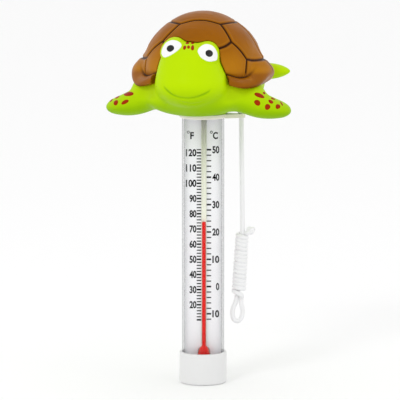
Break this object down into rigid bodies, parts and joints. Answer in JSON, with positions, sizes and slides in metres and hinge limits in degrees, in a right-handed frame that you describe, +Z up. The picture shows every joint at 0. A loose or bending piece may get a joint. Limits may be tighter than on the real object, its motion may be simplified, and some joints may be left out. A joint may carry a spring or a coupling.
{
  "type": "floating pool thermometer",
  "caption": "Floating pool thermometer: turtle float on a clear tube with a dual scale card, red spirit column, end cap and a wrapped tether on an ear.",
  "frame": {"origin": "middle of the end cap's flat foot, on the tube's axis", "axes": "+Z up along the tube; the scale faces -Y; the tether ear is on +X"},
  "size_m": [0.1091, 0.1098, 0.2206],
  "materials": {
    "green_vinyl": "satin",
    "shell_brown": "satin",
    "eye_white": "gloss",
    "pupil_black": "gloss",
    "white_plastic": "satin",
    "clear_plastic": "clear",
    "stem_glass": "clear",
    "red_spirit": "gloss",
    "scale_print": "matte",
    "grey_rubber": "matte",
    "pale_rubber": "matte",
    "steel": "satin",
    "white_braid": "matte"
  },
  "bodies": {
    "float": {"turtle_body": "green_vinyl", "carapace": "shell_brown", "eye_right": "eye_white", "eye_left": "eye_white", "pupil_right": "pupil_black", "pupil_left": "pupil_black", "collar": "white_plastic", "collar_seal": "pale_rubber", "outer_tube": "clear_plastic", "scale_card": "scale_print", "glass_stem": "stem_glass", "bulb_spirit": "red_spirit", "top_plug": "grey_rubber", "bottom_plug": "grey_rubber", "ballast_slug": "steel", "cap_seal": "pale_rubber", "bottom_cap": "white_plastic", "tether_knot": "white_braid"},
    "spirit": {"spirit_column": "red_spirit"},
    "drop": {"tether_cord": "white_braid"},
    "hank": {"tether_hank": "white_braid", "tether_end_knot": "white_braid"}
  },
  "joints": [
    {"name": "spirit_rise", "type": "slide", "parent": "float", "child": "spirit", "axis": [0, 0, 1], "range_m": [-0.058, 0.042], "deforming": ["spirit_column"]},
    {"name": "tether_swing", "type": "hinge", "parent": "float", "child": "drop", "pos_m": [0.0225, 0, 0.15635], "axis": [0, -1, 0], "range_deg": [-1.2, 80]},
    {"name": "hank_sway", "type": "hinge", "parent": "drop", "child": "hank", "pos_m": [0.0233, 0, 0.0916], "axis": [1, 0, 0], "range_deg": [-60, 60]}
  ]
}
